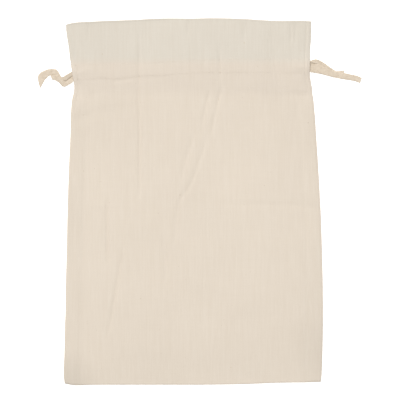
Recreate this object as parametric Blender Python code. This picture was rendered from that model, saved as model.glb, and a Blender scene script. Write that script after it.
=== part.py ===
"""Drawstring pouch of thin natural cotton, lying flat with its mouth towards +Y.

One cut of cloth is folded at the bottom and sewn up both sides.  The mouth is turned in to a hem, and a
casing runs round the hem between two rows of stitching.  Two flat cotton tapes run through the casing:
each goes round the front, turns back inside the opposite side opening and returns through the back, so
both of its ends leave at its own side.  The pouch is a little open, so that its mouth and inside are real.

World axes: +X right, +Y towards the mouth, +Z up.  The origin is the middle of the pouch, on the surface
that it lies on.  Tables are in millimetres; the meshes are in metres.
"""
import math

import bmesh
import bpy
import numpy as np
from mathutils import Vector

MM = 0.001

# ---- driving dimensions, in millimetres -----------------------------------------------------------------
CLOTH = 1.0              # one layer of cloth
SEAM_WIDTH = 4.0         # both sides are sewn together for this width
BOTTOM_WIDTH = 3.4       # solid width of the folded bottom edge
EDGE_ROUND = 0.6         # how far the outer faces stand back from the rounded edge
INSIDE_HEIGHT = 8.4      # height of the front's inner face above the surface, at the middle
CROWN_POWER = 4          # how flat the front stays before it falls to the sides
BOTTOM_RISE = 45.0       # length over which the front rises from the bottom edge

CASING_MID = 108.6       # height of the casing's middle line above the centre, at x = 0
CASING_SLOPE = 0.0245    # the hem was turned a little askew, so the casing climbs to the right
CASING_WIDTH = 11.4      # between its two rows of stitching
TUNNEL_HEIGHT = 1.2      # room for the tape between the cloth and the hem
SIDE_OPENING = 8.0       # depth of the opening in each side seam, at the casing

TAPE_WIDTH = 5.0
TAPE_THICK = 0.6
LANE = 2.75              # the two tapes lie side by side, this far from the casing's middle line
TURN_BACK = 1.9          # a tape's turn stays this far inside the side edge

COLUMNS = 30             # mesh columns across the front
BODY_ROWS = 22           # mesh rows from the bottom to the hem
HEADER_ROWS = 4          # mesh rows from the casing to the mouth

# Both side edges, from the bottom corners to the mouth.
#   y, left x, right x
SIDE_EDGES = (
    (-149.0, -105.6, 104.6),
    (-138.0, -106.4, 105.5),
    (-107.0, -105.6, 106.3),
    (-74.0, -104.9, 106.3),
    (-42.0, -104.1, 105.4),
    (-9.0, -103.2, 104.2),
    (24.0, -102.3, 102.4),
    (57.0, -101.0, 100.6),
    (73.0, -100.7, 99.5),
    (84.0, -99.5, 98.1),
    (91.0, -97.9, 97.2),
    (103.0, -98.9, 95.7),
    (115.0, -100.6, 95.4),
    (126.0, -102.2, 95.8),
    (134.0, -103.8, 96.3),
    (143.0, -104.7, 96.4),
    (148.0, -104.2, 96.7),
)

# The bottom fold and the mouth's edge, from left to right.
#   share of the width, bottom y, mouth y
END_EDGES = (
    (0.00, -149.2, 145.3),
    (0.03, -150.7, 146.9),
    (0.10, -150.5, 147.8),
    (0.22, -150.4, 148.6),
    (0.35, -150.4, 150.2),
    (0.50, -150.4, 150.6),
    (0.62, -150.2, 150.6),
    (0.70, -149.8, 149.3),
    (0.78, -149.2, 148.5),
    (0.87, -148.7, 148.4),
    (0.96, -148.4, 149.0),
    (1.00, -148.0, 148.0),
)

# Layers of cloth across the hem, by distance from the casing's middle line.
#   distance, thickness of one side of the pouch
HEM_PROFILE = (
    (-19.5, CLOTH),
    (-18.5, 2 * CLOTH),
    (-9.5, 2 * CLOTH),
    (-6.4, 2 * CLOTH + TUNNEL_HEIGHT),
    (6.4, 2 * CLOTH + TUNNEL_HEIGHT),
    (9.5, 2 * CLOTH),
)
HEM_MIDDLE_ROWS = (-14.0, 0.0)   # more mesh rows inside the hem

# Folds in the front, each a soft ridge (or, where its height is negative, a trough) along a line.
#   x and y of one end, x and y of the other, height, half width
FOLDS = (
    (-44.3, 80.0, -43.7, 8.0, -0.5, 7.0),       # pressed fold, upper left
    (12.4, 86.0, 8.8, 49.0, -0.5, 7.0),         # long slanted crease from the hem down
    (8.8, 49.0, -2.6, 12.0, -0.6, 7.0),
    (-2.6, 12.0, -13.4, -12.0, -0.5, 7.0),
    (-13.4, -12.0, -17.6, -40.0, -0.4, 7.0),
    (22.6, 90.0, 15.4, 58.0, -0.4, 7.0),        # its shorter neighbour
    (-70.4, -4.0, -69.4, -46.0, -0.6, 7.0),     # pressed fold, lower left
    (-58.0, -44.0, -70.2, -110.0, -0.5, 7.0),
    (-23.9, -36.0, -21.6, -64.0, -0.4, 7.0),    # short crease below the middle
    (36.0, -2.8, 96.0, -5.0, -0.3, 7.0),        # pressed fold across the right half
    (-94.0, 67.0, -38.0, 77.0, -0.4, 6.0),      # slack under the left end of the hem
    (-90.0, 76.0, -92.5, -120.0, 0.4, 5.0),     # edge of the left seam allowance
    (87.0, 80.0, 94.5, -140.0, 0.4, 5.0),       # edge of the right seam allowance
    (-44.2, 140.0, -44.2, 124.0, -0.3, 7.0),    # upright folds in the header
    (21.0, 140.0, 21.6, 122.0, -0.3, 7.0),
    (64.0, 140.0, 66.0, 122.0, -0.3, 7.0),
)
FOLD_MARGIN = 6.0        # folds die out this close to the edges and the casing

# Free ends of the tapes, from inside the side opening to the cut end.
#   x, y, z
LEFT_FRONT_END = (
    (-94.9, 103.5, 4.7), (-99.0, 103.4, 3.9), (-102.2, 101.6, 2.9), (-104.2, 99.4, 2.2),
    (-106.2, 98.2, 1.9), (-108.4, 98.6, 1.8), (-110.0, 100.6, 1.8), (-111.4, 103.0, 1.8),
    (-113.4, 105.0, 1.7), (-116.4, 105.9, 1.4), (-119.4, 105.3, 0.8), (-122.0, 103.8, 0.5),
    (-124.2, 101.2, 0.5), (-125.3, 97.6, 0.5), (-125.2, 93.1, 0.5),
)
LEFT_BACK_END = (
    (-96.0, 103.5, 1.6), (-99.5, 103.2, 1.5), (-102.8, 101.4, 0.8), (-105.6, 99.3, 0.5),
    (-108.6, 98.9, 0.5), (-111.4, 100.2, 0.5), (-115.2, 101.1, 0.5),
)
RIGHT_FRONT_END = (
    (91.6, 113.6, 4.7), (96.0, 112.4, 3.9), (100.0, 110.4, 2.7), (104.5, 108.4, 2.0),
    (110.0, 106.4, 1.7), (116.4, 104.3, 1.6), (121.0, 103.2, 1.6), (126.0, 102.2, 1.4),
    (131.0, 101.2, 0.8), (135.0, 100.2, 0.5), (138.1, 99.2, 0.5),
)
RIGHT_BACK_END = (
    (93.0, 113.7, 1.6), (96.5, 114.2, 1.5), (100.0, 114.4, 0.9), (103.6, 113.4, 0.5),
    (107.6, 110.8, 0.5), (111.6, 108.2, 0.5), (115.4, 106.0, 0.5), (119.6, 105.2, 0.5),
    (123.7, 105.3, 0.5),
)
POINT_SPACING = 1.5      # between the points of a tape's free end
TUNNEL_SPACING = 8.0     # between the points of a tape inside the casing

COTTON = (0.79, 0.70, 0.59, 1.0)
TAPE_COTTON = (0.76, 0.67, 0.56, 1.0)


# ---- shape of the pouch ---------------------------------------------------------------------------------
def column(table, index):
    """One column of a table, as a list."""
    return [row[index] for row in table]


def left_edge(y):
    return float(np.interp(y, column(SIDE_EDGES, 0), column(SIDE_EDGES, 1)))


def right_edge(y):
    return float(np.interp(y, column(SIDE_EDGES, 0), column(SIDE_EDGES, 2)))


def bottom_edge(share):
    return float(np.interp(share, column(END_EDGES, 0), column(END_EDGES, 1)))


def mouth_edge(share):
    return float(np.interp(share, column(END_EDGES, 0), column(END_EDGES, 2)))


def casing_line(x):
    """y of the casing's middle line."""
    return CASING_MID + CASING_SLOPE * x


def cloth_thickness(x, y):
    """Thickness of the front, and of the back, at a place: one layer, the hem's two, or the casing."""
    return float(np.interp(y - casing_line(x), column(HEM_PROFILE, 0), column(HEM_PROFILE, 1)))


def crown(x, y, share):
    """How far the pouch is open at a place: 0 at the seams, 1 at the middle."""
    inner_left = left_edge(y) + SEAM_WIDTH
    inner_right = right_edge(y) - SEAM_WIDTH
    across = 2 * (x - inner_left) / (inner_right - inner_left) - 1
    across = min(1.0, abs(across))
    along = (y - bottom_edge(share) - BOTTOM_WIDTH) / BOTTOM_RISE
    along = min(1.0, max(0.0, along))
    return (1 - across ** CROWN_POWER) * (1 - (1 - along) ** 3)


def fold_height(x, y, share):
    """Sum of the folds at a place.  They fade out at the edges and over the casing."""
    total = 0.0
    for x0, y0, x1, y1, height, half_width in FOLDS:
        run = Vector((x1 - x0, y1 - y0))
        along = Vector((x - x0, y - y0)).dot(run) / run.length_squared
        along = min(1.0, max(0.0, along))
        distance = math.hypot(x - x0 - along * run.x, y - y0 - along * run.y)
        total += height * math.exp(-(distance / half_width) ** 2)
    margins = (
        x - left_edge(y) - SEAM_WIDTH,
        right_edge(y) - SEAM_WIDTH - x,
        y - bottom_edge(share) - BOTTOM_WIDTH,
        abs(y - casing_line(x)) - CASING_WIDTH / 2 - CLOTH,
    )
    fade = min(1.0, max(0.0, min(margins) / FOLD_MARGIN))
    return total * fade


def inner_front(x, y, share):
    """z of the front's inner face."""
    thickness = cloth_thickness(x, y)
    opened = (INSIDE_HEIGHT - thickness) * crown(x, y, share)
    return thickness + opened + fold_height(x, y, share)


def outer_front(x, y, share):
    """z of the front's outer face."""
    return inner_front(x, y, share) + cloth_thickness(x, y)


def row_heights(share, first):
    """y of every mesh row at one share of the width, the lowest `first` above the bottom edge."""
    x = left_edge(CASING_MID) + share * (right_edge(CASING_MID) - left_edge(CASING_MID))
    hem = sorted(column(HEM_PROFILE, 0) + list(HEM_MIDDLE_ROWS))
    bottom = bottom_edge(share)
    hem_start = casing_line(x) + hem[0]
    header_start = casing_line(x) + hem[-1]
    rows = [bottom + (hem_start - bottom) * i / BODY_ROWS for i in range(BODY_ROWS)]
    rows[0] = bottom + first
    rows += [casing_line(x) + distance for distance in hem]
    header = mouth_edge(share) - header_start
    rows += [header_start + header * (i + 1) / HEADER_ROWS for i in range(HEADER_ROWS)]
    return rows


def sheet(mesh, side_margin, bottom_margin, height):
    """A grid of vertices over the pouch, as a list of rows.  `height` gives z for x, y and share."""
    columns = []
    for i in range(COLUMNS + 1):
        share = i / COLUMNS
        verts = []
        for y in row_heights(share, bottom_margin):
            left = left_edge(y) + side_margin
            right = right_edge(y) - side_margin
            x = left + share * (right - left)
            verts.append(mesh.verts.new((x * MM, y * MM, height(x, y, share) * MM)))
        columns.append(verts)
    return [list(row) for row in zip(*columns)]


def fill(mesh, rows, flip=False):
    """Faces between neighbouring rows of vertices."""
    faces = []
    for low, high in zip(rows, rows[1:]):
        for i in range(len(low) - 1):
            corners = [low[i], low[i + 1], high[i + 1], high[i]]
            faces.append(mesh.faces.new(reversed(corners) if flip else corners))
    return faces


def edge_ring(rows):
    """The grid's left side from the mouth down, its bottom row, then its right side up to the mouth."""
    left = [row[0] for row in reversed(rows)]
    right = [row[-1] for row in rows]
    return left + rows[0][1:-1] + right


def rounded_edge(mesh, front, back):
    """The rounded rim that joins the outer faces along the sides and the bottom."""
    middle = []
    for upper, lower in zip(edge_ring(front), edge_ring(back)):
        x = upper.co.x / MM
        y = upper.co.y / MM
        at_bottom = upper in front[0]
        if upper in {row[0] for row in front}:
            x -= EDGE_ROUND
        elif upper in {row[-1] for row in front}:
            x += EDGE_ROUND
        if at_bottom:
            y -= EDGE_ROUND
        middle.append(mesh.verts.new((x * MM, y * MM, (upper.co.z + lower.co.z) / 2)))
    fill(mesh, [edge_ring(front), middle, edge_ring(back)], flip=True)
    return middle


def pouch_shell():
    """The pouch's cloth without its casing tunnels."""
    mesh = bmesh.new()
    front = sheet(mesh, EDGE_ROUND, EDGE_ROUND, outer_front)
    back = sheet(mesh, EDGE_ROUND, EDGE_ROUND, lambda x, y, share: 0.0)
    inside_front = sheet(mesh, SEAM_WIDTH, BOTTOM_WIDTH, inner_front)
    inside_back = sheet(mesh, SEAM_WIDTH, BOTTOM_WIDTH, lambda x, y, share: cloth_thickness(x, y))
    fill(mesh, front)
    flat_faces = fill(mesh, back, flip=True)
    fill(mesh, inside_front, flip=True)
    flat_faces += fill(mesh, inside_back)
    middle = rounded_edge(mesh, front, back)
    # the cloth's thickness round the mouth
    fill(mesh, [front[-1], inside_front[-1]])
    fill(mesh, [inside_back[-1], back[-1]])
    left = (front[-1][0], inside_front[-1][0], inside_back[-1][0], back[-1][0], middle[0])
    right = (front[-1][-1], middle[-1], back[-1][-1], inside_back[-1][-1], inside_front[-1][-1])
    mesh.faces.new(left)
    mesh.faces.new(right)
    # the inner faces meet along the side seams and the bottom fold
    bmesh.ops.remove_doubles(mesh, verts=mesh.verts, dist=0.01 * MM)
    flat_faces = [face for face in flat_faces if face.is_valid]
    flat_edges = list({edge for face in flat_faces for edge in face.edges})
    flat_verts = list({vert for face in flat_faces for vert in face.verts})
    bmesh.ops.dissolve_limit(
        mesh, angle_limit=math.radians(0.05), verts=flat_verts, edges=flat_edges)
    return mesh


# ---- casing ---------------------------------------------------------------------------------------------
def casing_top(x):
    """z of the top of the front tunnel."""
    y = casing_line(x)
    inside = min(right_edge(y), max(left_edge(y), x))
    return outer_front(inside, y, 0.5) - CLOTH


def casing_cutter():
    """The room inside the casing: the front tunnel, the back tunnel and the openings in both side seams."""
    left_end = left_edge(CASING_MID)
    right_end = right_edge(CASING_MID)
    inner_left = left_end + SIDE_OPENING
    inner_right = right_end - SIDE_OPENING
    steps = round((inner_right - inner_left) / TUNNEL_SPACING)
    inner_x = list(np.linspace(inner_left, inner_right, steps + 1))
    outer_x = [left_end - SIDE_OPENING, left_end + SEAM_WIDTH] + inner_x
    outer_x += [right_end - SEAM_WIDTH, right_end + SIDE_OPENING]
    outer = [(x, casing_top(x)) for x in outer_x]
    outer += [(outer_x[-1], CLOTH), (outer_x[0], CLOTH)]
    inner = [(x, casing_top(x) - TUNNEL_HEIGHT) for x in inner_x]
    inner += [(inner_right, CLOTH + TUNNEL_HEIGHT), (inner_left, CLOTH + TUNNEL_HEIGHT)]

    mesh = bmesh.new()
    half_width = CASING_WIDTH / 2
    loops = {}
    for side in (-1, 1):
        edges = []
        for name, points in (("outer", outer), ("inner", inner)):
            verts = [
                mesh.verts.new((x * MM, (casing_line(x) + side * half_width) * MM, z * MM))
                for x, z in points]
            loops[name, side] = verts
            edges += [mesh.edges.new((verts[i - 1], verts[i])) for i in range(len(verts))]
        bmesh.ops.triangle_fill(mesh, edges=edges, use_beauty=True)
    for name in ("outer", "inner"):
        low = loops[name, -1]
        high = loops[name, 1]
        for i in range(len(low)):
            mesh.faces.new((low[i - 1], low[i], high[i], high[i - 1]))
    bmesh.ops.recalc_face_normals(mesh, faces=mesh.faces)
    return mesh


# ---- tapes ----------------------------------------------------------------------------------------------
def smooth_curve(points, spacing):
    """Points every `spacing` on a smooth curve through the given ones."""
    guides = [np.array(point, dtype=float) for point in points]
    guides = [2 * guides[0] - guides[1]] + guides + [2 * guides[-1] - guides[-2]]
    curve = []
    for i in range(1, len(guides) - 2):
        before, start, end, after = guides[i - 1:i + 3]
        steps = max(1, round(float(np.linalg.norm(end - start)) / spacing))
        for step in range(steps):
            t = step / steps
            curve.append(0.5 * (
                2 * start + (end - before) * t
                + (2 * before - 5 * start + 4 * end - after) * t ** 2
                + (3 * start - before - 3 * end + after) * t ** 3))
    curve.append(guides[-2])
    return [tuple(float(value) for value in point) for point in curve]


def casing_loop(side, lane):
    """A tape's route inside the casing: along the front from `side`, a turn, and back along the back.

    `side` is -1 when the ends leave at the left and 1 when they leave at the right."""
    edges = {-1: left_edge(CASING_MID), 1: right_edge(CASING_MID)}
    start = edges[side] - side * SIDE_OPENING
    far = edges[-side] + side * SIDE_OPENING
    seam = edges[-side] + side * SEAM_WIDTH
    back_z = CLOTH + TUNNEL_HEIGHT / 2
    radius = (casing_top(seam) - TUNNEL_HEIGHT / 2 - back_z) / 2
    turn_x = edges[-side] + side * (TURN_BACK + radius)

    def place(x, z):
        return (x, casing_line(x) + lane, z)

    steps = round(abs(far - start) / TUNNEL_SPACING)
    stations = [float(x) for x in np.linspace(start, far, steps + 1)] + [seam]
    route = [place(x, casing_top(x) - TUNNEL_HEIGHT / 2) for x in stations]
    for step in range(9):
        angle = math.pi * step / 8
        route.append(place(turn_x - side * radius * math.sin(angle), back_z + radius * (1 + math.cos(angle))))
    route += [place(x, back_z) for x in reversed(stations)]
    return route


def tape(name, side, lane, front_end, back_end, material):
    """A flat tape swept along its route, from one cut end to the other."""
    loop = casing_loop(side, lane)
    first = smooth_curve([loop[0]] + list(front_end), POINT_SPACING)
    last = smooth_curve([loop[-1]] + list(back_end), POINT_SPACING)
    route = [Vector(point) for point in list(reversed(first)) + loop[1:-1] + last]
    mesh = bmesh.new()
    rings = []
    across = None
    for i, point in enumerate(route):
        tangent = (route[min(i + 1, len(route) - 1)] - route[max(i - 1, 0)]).normalized()
        level = Vector((-tangent.y, tangent.x, 0))
        if across is None or level.length > 0.3:
            if across is not None and level.dot(across) < 0:
                level = -level
            across = level.normalized()
        up = tangent.cross(across).normalized()
        ring = []
        for width_sign, thick_sign in ((-1, -1), (1, -1), (1, 1), (-1, 1)):
            corner = point + across * width_sign * TAPE_WIDTH / 2 + up * thick_sign * TAPE_THICK / 2
            ring.append(mesh.verts.new(corner * MM))
        rings.append(ring)
    for near, far in zip(rings, rings[1:]):
        for i in range(4):
            mesh.faces.new((near[i - 1], near[i], far[i], far[i - 1]))
    mesh.faces.new(rings[0])
    mesh.faces.new(reversed(rings[-1]))
    bmesh.ops.recalc_face_normals(mesh, faces=mesh.faces)
    return add_object(name, mesh, material)


# ---- objects --------------------------------------------------------------------------------------------
def cotton(name, colour):
    material = bpy.data.materials.new(name)
    material.use_nodes = True
    shader = material.node_tree.nodes["Principled BSDF"]
    shader.inputs["Base Color"].default_value = colour
    shader.inputs["Roughness"].default_value = 0.9
    shader.inputs["Metallic"].default_value = 0.0
    return material


def add_object(name, mesh, material):
    data = bpy.data.meshes.new(name)
    mesh.to_mesh(data)
    mesh.free()
    obj = bpy.data.objects.new(name, data)
    bpy.context.scene.collection.objects.link(obj)
    if material:
        data.materials.append(material)
    return obj


def build():
    for obj in list(bpy.data.objects):
        bpy.data.objects.remove(obj, do_unlink=True)

    pouch = add_object("pouch", pouch_shell(), cotton("pouch_cotton", COTTON))
    cutter = add_object("casing_room", casing_cutter(), None)
    cutter.hide_render = True
    cutter.display_type = "WIRE"
    cut = pouch.modifiers.new("casing", "BOOLEAN")
    cut.operation = "DIFFERENCE"
    cut.object = cutter

    tape_material = cotton("tape_cotton", TAPE_COTTON)
    tape("drawstring_left", -1, -LANE, LEFT_FRONT_END, LEFT_BACK_END, tape_material)
    tape("drawstring_right", 1, LANE, RIGHT_FRONT_END, RIGHT_BACK_END, tape_material)


build()
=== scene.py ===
"""Looks of a drawstring pouch of natural cotton muslin, lying flat and seen from straight above.

The pouch is a front and a back panel.  Each panel is one run of cloth: its sides turn in to the seam
allowance, and its top rolls over the mouth and comes down inside as the hem.  Two rows of stitching make
the casing that the flat tapes leave at each side.  Tables are in millimetres in the frame of the CAD
model: +X right, +Y towards the mouth, +Z up, origin in the middle of the pouch on the surface.
"""
import math
from collections import namedtuple

import bpy
import numpy as np
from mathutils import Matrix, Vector, noise


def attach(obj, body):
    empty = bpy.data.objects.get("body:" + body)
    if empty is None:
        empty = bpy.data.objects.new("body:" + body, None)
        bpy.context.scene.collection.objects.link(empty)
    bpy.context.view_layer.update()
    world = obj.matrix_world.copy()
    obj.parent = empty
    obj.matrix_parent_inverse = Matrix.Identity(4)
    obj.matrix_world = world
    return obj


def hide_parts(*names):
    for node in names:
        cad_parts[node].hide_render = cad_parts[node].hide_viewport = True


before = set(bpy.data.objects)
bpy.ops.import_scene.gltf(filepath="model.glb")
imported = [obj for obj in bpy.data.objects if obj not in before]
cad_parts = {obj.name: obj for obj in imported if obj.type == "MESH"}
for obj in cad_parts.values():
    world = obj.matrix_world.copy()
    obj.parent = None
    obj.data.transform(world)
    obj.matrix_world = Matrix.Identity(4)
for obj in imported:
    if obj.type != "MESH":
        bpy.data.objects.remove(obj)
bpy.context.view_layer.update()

MM = 0.001

# ---- sizes, in millimetres ----
CLOTH = 0.36             # thickness of the cloth
RESTING = CLOTH / 2 + 0.02  # middle of the cloth above the surface, where it lies on it
LAYER = 0.45             # from one layer to the next in a stack
EDGE_STACK = 1.55        # middle of the front cloth above the surface, along the side seams
OPEN_EDGE = 2.6          # the same where the tapes leave
CROWN = 3.8              # how far the front rises in the middle
CROWN_POWER = 3.0        # how flat the front stays before it falls to the sides
BOTTOM_RISE = 90.0       # the front rises to its full height over this length from the bottom
SLOW_START = 0.12        # how gently that rise begins
SLOW_END = 2.6           # and how gently it ends
ALLOWANCE = 11.0         # seam allowance turned in at the sides of the body
HEM_ALLOWANCE = 2.2      # the same beside the hem
NO_ALLOWANCE = 0.15      # and at the ends of the sides
HEM_INSET = 3.2          # the hem inside is this much narrower at each side
TUNNEL = 0.60            # more room for the tapes between the cloth and the hem inside it
FOLD_UNDER = 3.0         # the front's cloth reaches this far under the pouch from the bottom fold

# Both side edges, from the bottom corners to the mouth.
#   y, left x, right x
SIDE_EDGES = (
    (-149.4, -105.2, 104.5),
    (-145.0, -105.9, 105.1),
    (-138.0, -106.0, 105.6),
    (-125.0, -105.5, 106.0),
    (-107.0, -105.2, 106.4),
    (-90.0, -104.6, 106.5),
    (-74.0, -104.4, 106.4),
    (-42.0, -103.6, 105.7),
    (-9.0, -102.9, 104.6),
    (24.0, -101.9, 102.8),
    (57.0, -100.5, 100.7),
    (73.0, -100.1, 99.6),
    (79.0, -99.7, 99.0),
    (84.0, -99.1, 98.5),
    (88.0, -98.0, 97.8),
    (91.2, -97.5, 97.7),
    (96.0, -97.6, 96.9),
    (103.0, -98.8, 95.8),
    (111.0, -100.0, 95.7),
    (118.0, -101.0, 96.0),
    (126.0, -101.9, 96.1),
    (134.0, -103.2, 96.7),
    (143.0, -104.2, 96.8),
    (148.0, -104.0, 96.9),
)

# The bottom fold and the mouth's edge, from left to right.
#   share of the width, bottom y, mouth y
END_EDGES = (
    (0.00, -149.4, 144.9),
    (0.03, -150.6, 146.2),
    (0.10, -150.5, 147.05),
    (0.22, -150.4, 148.0),
    (0.28, -150.4, 148.4),
    (0.34, -150.4, 149.1),
    (0.39, -150.4, 149.5),
    (0.52, -150.4, 149.5),
    (0.58, -150.3, 149.75),
    (0.67, -150.0, 149.55),
    (0.74, -149.6, 148.95),
    (0.80, -149.0, 148.2),
    (0.88, -148.6, 147.65),
    (0.95, -148.4, 147.95),
    (1.00, -148.0, 147.6),
)

# The hem's lower edge inside, and the two rows of stitching that make the casing.
#   x, hem edge y, lower row y, upper row y
HEM_LINES = (
    (-103.0, 88.4, 100.0, 111.2),
    (-95.0, 88.9, 100.2, 111.5),
    (-83.0, 90.2, 100.6, 111.9),
    (-79.0, 91.9, 101.0, 112.0),
    (-62.0, 92.0, 100.5, 112.3),
    (-42.0, 91.9, 102.6, 113.0),
    (-21.0, 92.1, 103.3, 113.9),
    (-1.0, 92.1, 105.2, 115.0),
    (20.0, 92.0, 105.3, 115.8),
    (40.0, 92.8, 105.6, 116.2),
    (61.0, 91.2, 105.4, 116.3),
    (69.0, 89.0, 105.4, 116.3),
    (81.0, 90.3, 105.3, 116.1),
    (98.0, 90.1, 104.9, 115.6),
)

# How strongly the hem shows in the front: steps up at its edge and at the lower row of stitching, and a
# groove along the upper row.
#   x, edge, lower row, upper row
HEM_RELIEF = (
    (-98.0, 0.20, 0.10, 0.03),
    (-85.0, 0.20, 0.14, 0.03),
    (-78.0, 0.05, 0.22, 0.03),
    (-68.0, 0.04, 0.18, 0.04),
    (-60.0, 0.04, 0.06, 0.04),
    (-52.0, 0.05, 0.06, 0.04),
    (-46.0, 0.05, 0.14, 0.04),
    (-40.0, 0.07, 0.16, 0.04),
    (-22.0, 0.03, 0.18, 0.04),
    (-12.0, 0.03, 0.05, 0.04),
    (10.0, 0.03, 0.08, 0.04),
    (28.0, 0.08, 0.10, 0.04),
    (40.0, 0.20, 0.14, 0.04),
    (55.0, 0.09, 0.07, 0.05),
    (72.0, 0.17, 0.03, 0.06),
    (84.0, 0.42, 0.05, 0.07),
    (96.0, 0.44, 0.05, 0.07),
)

# Creases in the front: troughs, or ridges where the height is positive.
#   name, half width, then x, y and height at each point along it
CREASES = (
    ("fold from the header down the left half", 1.15, (
        (-44.6, 142.0, 0.00), (-44.0, 131.0, -0.46), (-43.8, 119.0, -0.90), (-44.0, 106.0, -0.64),
        (-45.0, 94.0, -0.44), (-45.0, 86.0, -0.72), (-44.2, 78.0, -0.80), (-44.0, 64.0, -0.78),
        (-43.8, 40.0, -0.74), (-43.6, 12.0, -0.70), (-43.5, 6.0, -0.60), (-43.4, 1.0, 0.00))),
    ("dip under the lower row of stitching", 1.6, (
        (-70.0, 97.8, 0.00), (-62.0, 98.6, -0.21), (-51.0, 100.0, -0.20), (-43.0, 101.3, 0.00))),
    ("upright crease in the hem", 1.2, (
        (21.0, 130.0, 0.00), (21.6, 120.0, -0.54), (22.0, 106.0, -0.50), (22.0, 97.0, 0.00))),
    ("crease at the right of the hem", 1.1, (
        (59.8, 143.0, 0.00), (61.2, 134.0, -0.36), (62.8, 122.0, -0.38), (65.2, 106.0, -0.30),
        (66.0, 97.0, 0.00))),
    ("its right neighbour", 1.1, (
        (62.8, 144.0, 0.00), (64.0, 134.0, -0.36), (65.7, 122.0, -0.46), (68.5, 104.0, -0.44),
        (70.4, 88.0, 0.00))),
    ("crease near the right edge of the header", 1.1, (
        (83.6, 147.0, 0.00), (83.5, 143.0, -0.60), (83.5, 133.0, -0.60), (83.6, 128.0, 0.00))),
    ("its left neighbour", 1.1, (
        (80.3, 147.0, 0.00), (80.2, 143.0, -0.60), (80.2, 133.0, -0.60), (80.3, 128.0, 0.00))),
    ("middle of the header", 1.3, (
        (-3.8, 149.0, 0.00), (-3.9, 145.0, -0.50), (-4.0, 137.0, -0.44), (-4.2, 132.0, 0.00))),
    ("right half of the header", 1.3, ((42.4, 147.0, 0.00), (42.0, 139.0, -0.40), (41.4, 127.0, 0.00))),
    ("left end of the header", 1.2, (
        (-85.8, 149.0, 0.00), (-85.6, 143.0, -0.46), (-85.5, 134.0, -0.44), (-85.4, 129.0, 0.00))),
    ("long slanted crease, upper part", 1.3, (
        (13.4, 91.0, 0.00), (12.4, 86.0, -0.52), (10.0, 75.0, -0.52), (7.6, 64.0, -0.20),
        (6.0, 54.0, 0.00))),
    ("long slanted crease, lower part", 1.4, (
        (10.4, 57.0, 0.00), (9.8, 49.0, -0.30), (8.2, 40.0, -0.36), (4.0, 30.0, -0.42), (0.8, 20.0, -0.58),
        (-2.6, 12.0, -0.54), (-9.0, 4.4, -0.44), (-11.4, -2.0, -0.36), (-13.4, -12.0, -0.26),
        (-15.0, -30.0, -0.28), (-16.4, -40.0, 0.00))),
    ("shorter slanted crease, right of the long one", 1.3, (
        (24.2, 98.0, 0.00), (22.6, 90.0, -0.50), (21.0, 84.0, -0.72), (20.0, 80.0, -0.62),
        (17.8, 68.0, -0.46), (15.4, 58.0, -0.40), (13.6, 50.0, 0.00))),
    ("faint slanted crease, left of the long one", 1.7, (
        (0.8, 57.0, 0.00), (-1.6, 47.0, -0.40), (-4.8, 37.0, -0.46), (-9.8, 20.0, -0.20),
        (-11.6, 12.0, 0.00))),
    ("lower left, upright", 1.3, (
        (-70.4, 4.0, 0.00), (-70.4, -6.0, -0.74), (-70.2, -20.0, -0.94), (-69.8, -38.0, -0.90),
        (-69.4, -46.0, -0.60), (-69.2, -52.0, 0.00))),
    ("lower left, slanted", 1.4, (
        (-57.0, -34.0, 0.00), (-58.8, -48.0, -0.46), (-60.8, -60.0, -0.64), (-63.0, -74.0, -0.68),
        (-65.8, -90.0, -0.60), (-68.4, -104.0, -0.46), (-70.2, -114.0, 0.00))),
    ("below the middle", 1.4, (
        (-24.6, -28.0, 0.00), (-23.9, -38.0, -0.40), (-22.6, -46.0, -0.56), (-21.8, -58.0, -0.50),
        (-21.4, -68.0, 0.00))),
    ("fold across the right half", 2.4, (
        (22.0, -2.6, 0.00), (36.0, -2.8, -0.14), (60.0, -3.0, -0.15), (84.0, -3.4, -0.19),
        (96.0, -5.0, -0.24), (103.0, -5.2, 0.00))),
    ("ridge in line with that fold, at the left", 2.0, (
        (-90.0, -3.4, 0.00), (-80.0, -3.4, 0.14), (-70.0, -3.4, 0.14), (-62.0, -3.4, 0.00))),
    ("slack under the left end of the hem", 4.2, (
        (-98.0, 62.0, 0.00), (-94.0, 67.0, -0.40), (-80.0, 72.2, -0.30), (-60.0, 75.0, -0.22),
        (-34.0, 78.0, 0.00))),
    ("slack at the left, next to that", 3.0, (
        (-94.0, 84.0, 0.00), (-91.0, 74.0, -0.26), (-86.0, 58.0, 0.00))),
    ("slack under the right end of the hem", 3.5, (
        (90.0, 88.0, 0.00), (86.0, 76.0, -0.18), (80.0, 60.0, 0.00))),
    ("slack in the lower half", 6.0, ((-26.0, -56.0, 0.00), (8.0, -68.0, 0.16), (46.0, -78.0, 0.00))),
    ("slack at the lower right", 7.0, ((14.0, -104.0, 0.00), (46.0, -96.0, -0.16), (80.0, -90.0, 0.00))),
    ("slack at the lower left", 6.0, ((-66.0, -116.0, 0.00), (-36.0, -122.0, 0.16), (-4.0, -128.0, 0.00))),
)

# More relief in the front.
CASING_FULL = 0.03       # how far the casing swells between its rows of stitching
GATHERS = 0.07           # small gathers that the stitching pulls in
SEAM_RELIEF = 0.30       # step over the edge of the seam allowance
SIDE_GROOVE = 0.40       # groove along the side stitching
SIDE_ROLL = 0.16         # the turned edge beside that groove
PUCKERS = 0.09           # short folds that run into the side openings
PUCKERS_TURN = 7.0       # how close together those folds are round an opening

# The openings at the sides that the tapes leave by.
#   side, x, y
OPENINGS = (
    (-1, -98.0, 103.0),
    (1, 96.0, 109.0),
)

# Soft waves of the cloth.
#   height, size across, seed
FRONT_WAVES = (
    (0.30, 46.0, 1.0),
    (0.08, 17.0, 2.0),
    (0.015, 5.5, 3.0),
)
BACK_WAVES = (
    (0.16, 52.0, 6.0),
    (0.05, 14.0, 7.0),
)

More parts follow.
